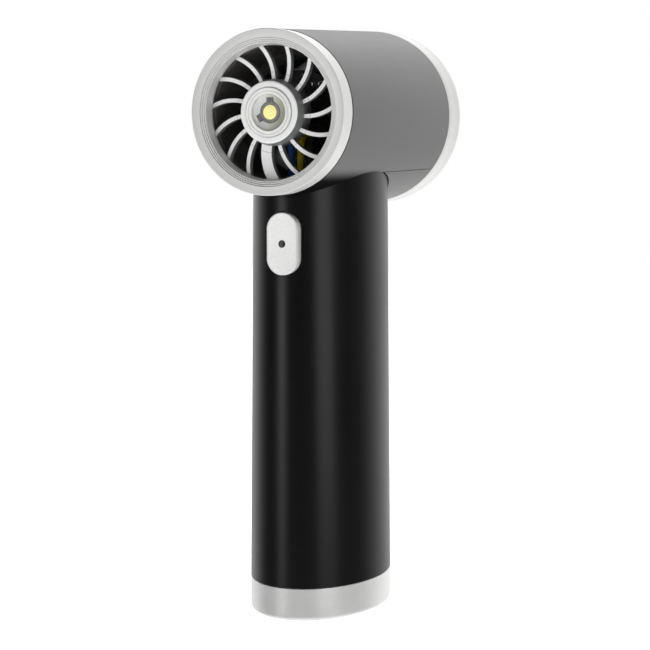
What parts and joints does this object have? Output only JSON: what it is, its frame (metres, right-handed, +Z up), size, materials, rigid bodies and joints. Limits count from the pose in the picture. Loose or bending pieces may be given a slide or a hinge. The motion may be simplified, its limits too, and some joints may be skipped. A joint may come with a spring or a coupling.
{
  "type": "cordless turbo blower",
  "caption": "Palm-held cordless turbo blower: conical drum head with ringed outlet, curved guide vanes and a hub lamp, on an oval battery handle.",
  "frame": {"origin": "on the floor under the middle of the object's box, where the base cap stands", "axes": "+Z up the handle; the head's axis along Y, outlet facing -Y and intake +Y; X across"},
  "size_m": [0.059, 0.097, 0.1886],
  "materials": {
    "silver_ring": "satin turned",
    "silver_vane": "bright satin",
    "shell_grey": "fine satin metallic",
    "handle_black": "satin black",
    "duct_black": "smooth moulded",
    "lens_clear": "clear",
    "reflector_silver": "polished cone",
    "led_ceramic": "ceramic",
    "phosphor_yellow": "phosphor",
    "terminal_dark": "soldered",
    "board_black": "solder mask",
    "board_green": "solder mask",
    "chip_black": "moulded",
    "plain_steel": "ground",
    "magnet_grey": "nickel plated",
    "core_steel": "laminated",
    "coil_copper": "enamelled wire",
    "impeller_grey": "moulded",
    "wire_blue": "wire sleeve",
    "wire_yellow": "wire sleeve",
    "wire_black": "wire sleeve",
    "wire_red": "wire sleeve",
    "grille_black": "fine grain",
    "mesh_steel": "woven",
    "rubber_black": "matt",
    "cell_wrap": "shrink wrap",
    "nickel": "plain",
    "frame_plastic": "moulded",
    "window_dark": "smoked"
  },
  "bodies": {
    "housing": {"front_ring": "silver_ring", "outlet_vane_cage": "silver_vane", "lamp_bezel": "silver_vane", "lamp_lens": "lens_clear", "lamp_reflector": "reflector_silver", "led_emitter": "led_ceramic", "led_phosphor": "phosphor_yellow", "led_terminals": "terminal_dark", "led_board": "board_green", "led_leads": "wire_black", "fan_duct": "duct_black", "driver_board": "board_black", "driver_components": "chip_black", "motor_can": "plain_steel", "motor_end_bell": "plain_steel", "motor_bearings": "plain_steel", "stator_core": "core_steel", "stator_windings": "coil_copper", "motor_wire_blue": "wire_blue", "motor_wire_yellow": "wire_yellow", "motor_wire_black": "wire_black", "head_shell": "shell_grey", "underside_panel": "shell_grey", "rear_ring": "silver_ring", "intake_grille": "grille_black", "intake_mesh": "mesh_steel", "duct_cushions": "rubber_black", "handle_shell": "handle_black", "neck_collar": "frame_plastic", "neck_screws": "plain_steel", "base_cap": "silver_ring", "base_screws": "plain_steel", "charge_board": "board_green", "usb_c_socket": "nickel", "button_guide": "frame_plastic", "tact_switch": "chip_black", "control_board": "board_green", "control_components": "chip_black", "battery_cells": "cell_wrap", "nickel_strips": "nickel", "battery_frame_lower": "frame_plastic", "battery_frame_upper": "frame_plastic", "battery_lead_red": "wire_red", "battery_lead_black": "wire_black", "charge_leads": "wire_red"},
    "rotor": {"impeller": "impeller_grey", "impeller_nut": "plain_steel", "motor_shaft": "plain_steel", "rotor_magnet": "magnet_grey"},
    "button": {"power_button": "silver_ring", "button_window": "window_dark"}
  },
  "joints": [
    {"name": "impeller_spin", "type": "hinge", "parent": "housing", "child": "rotor", "pos_m": [0, 0.0159, 0.1591], "axis": [0, 1, 0], "continuous": true},
    {"name": "button_press", "type": "slide", "parent": "housing", "child": "button", "axis": [0, 1, 0], "range_m": [0, 0.0008], "stiffness_N_per_m": 400, "springref_m": -0.0005}
  ]
}
